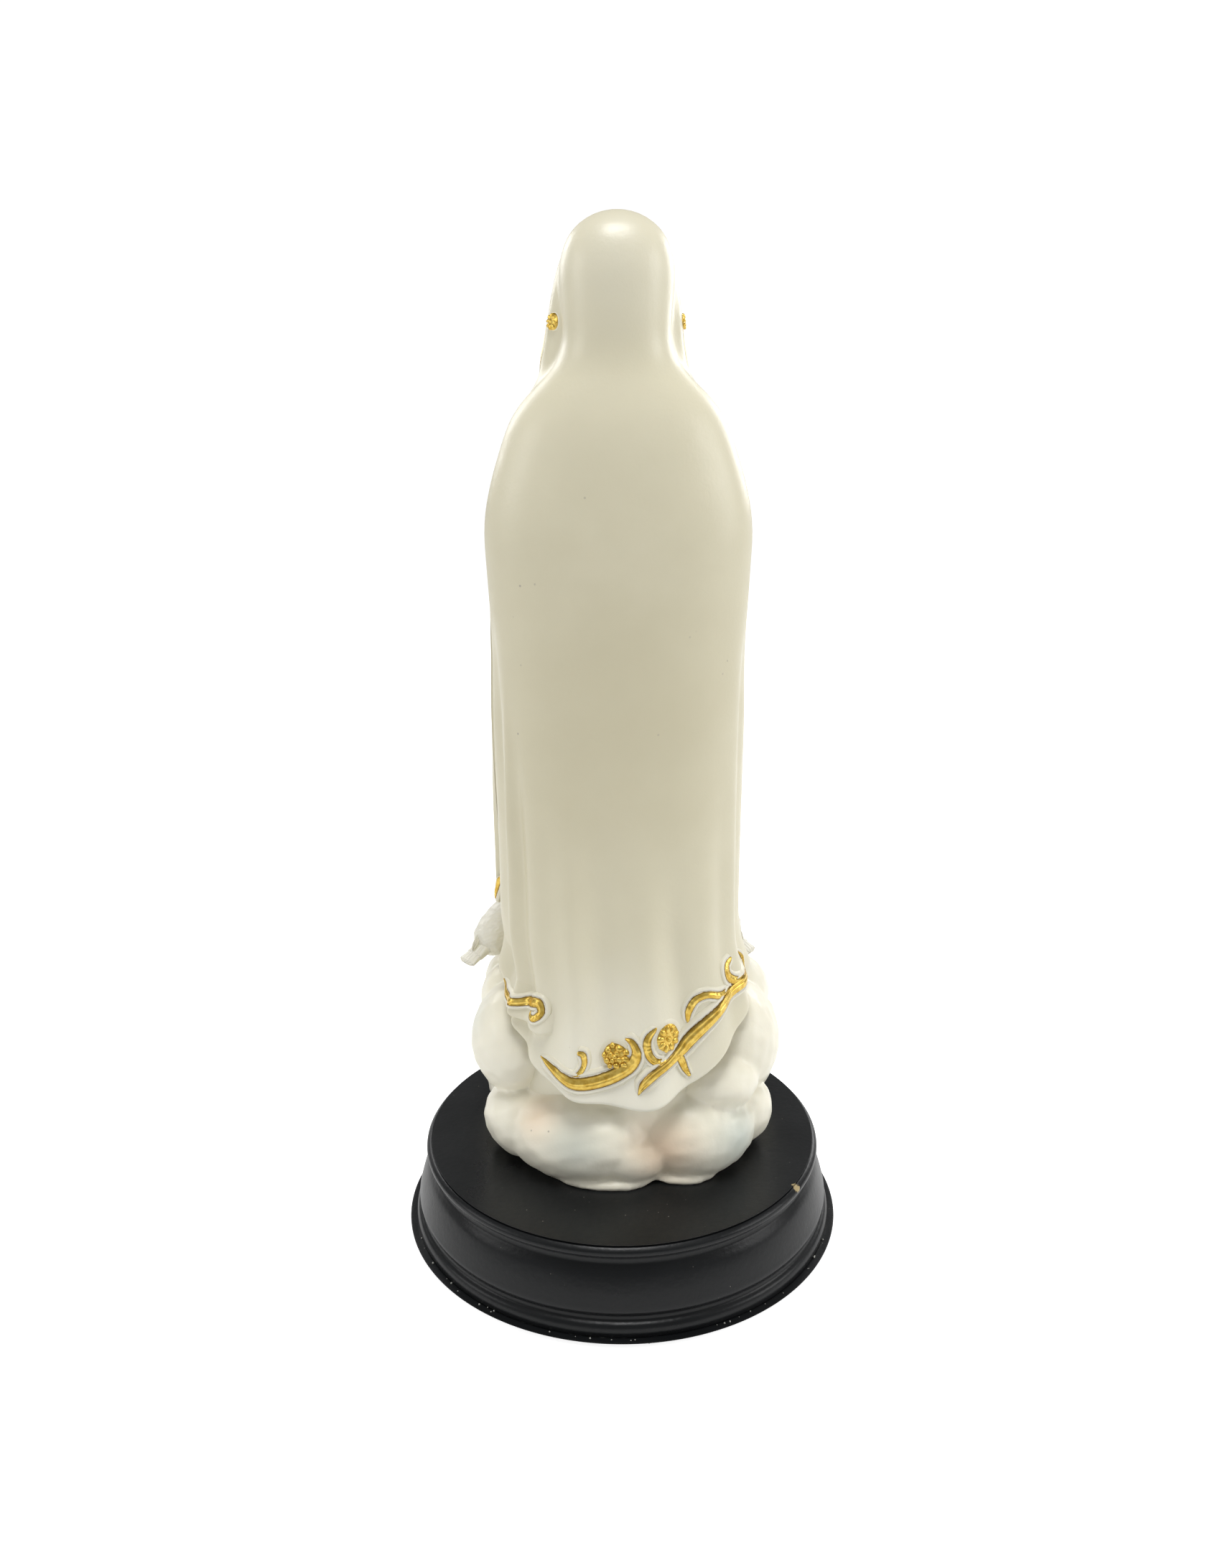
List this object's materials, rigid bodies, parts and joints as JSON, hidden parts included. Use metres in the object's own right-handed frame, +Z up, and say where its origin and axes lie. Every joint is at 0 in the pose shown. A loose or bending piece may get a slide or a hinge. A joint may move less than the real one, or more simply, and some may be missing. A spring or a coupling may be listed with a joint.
{
  "type": "madonna statue",
  "caption": "Standing madonna figure in ivory resin with a gold-trimmed mantle, doves and a cloud on a round black plinth.",
  "frame": {"origin": "centre of the underside of the plinth's pad", "axes": "+Z up, the figure faces -Y, +X to the figure's left"},
  "size_m": [0.0996, 0.0996, 0.2221],
  "materials": {
    "ivory_resin": "satin ivory paint on cast resin",
    "flesh_paint": "satin flesh paint on cast resin",
    "gold_paint": "metallic gold paint on cast resin",
    "black_resin": "satin black",
    "felt": "short-pile black felt",
    "steel": "zinc plated"
  },
  "bodies": {
    "root": {"plinth": "black_resin", "plinth_pad": "felt", "fixing_screws": "steel", "fixing_washers": "steel", "cloud": "ivory_resin", "robe": "ivory_resin", "mantle": "ivory_resin", "head": "flesh_paint", "hair": "ivory_resin", "left_sleeve": "ivory_resin", "right_sleeve": "ivory_resin", "left_hand": "flesh_paint", "right_hand": "flesh_paint", "left_foot": "flesh_paint", "right_foot": "flesh_paint", "left_dove": "ivory_resin", "right_dove": "ivory_resin", "left_dove_wings": "ivory_resin", "right_dove_wings": "ivory_resin", "left_dove_feet": "gold_paint", "right_dove_feet": "gold_paint", "hem_scroll_left": "gold_paint", "hem_scroll_right": "gold_paint", "hem_curl_left": "gold_paint", "hem_curl_right": "gold_paint", "hem_rosette_left": "gold_paint", "hem_rosette_right": "gold_paint", "veil_rosette_left": "gold_paint", "veil_rosette_right": "gold_paint", "veil_trim_left": "gold_paint", "veil_trim_right": "gold_paint", "front_trim_left": "gold_paint", "front_trim_right": "gold_paint", "collar_trim": "gold_paint", "left_cuff_trim": "gold_paint", "right_cuff_trim": "gold_paint", "robe_hem_trim": "gold_paint"}
  },
  "joints": []
}
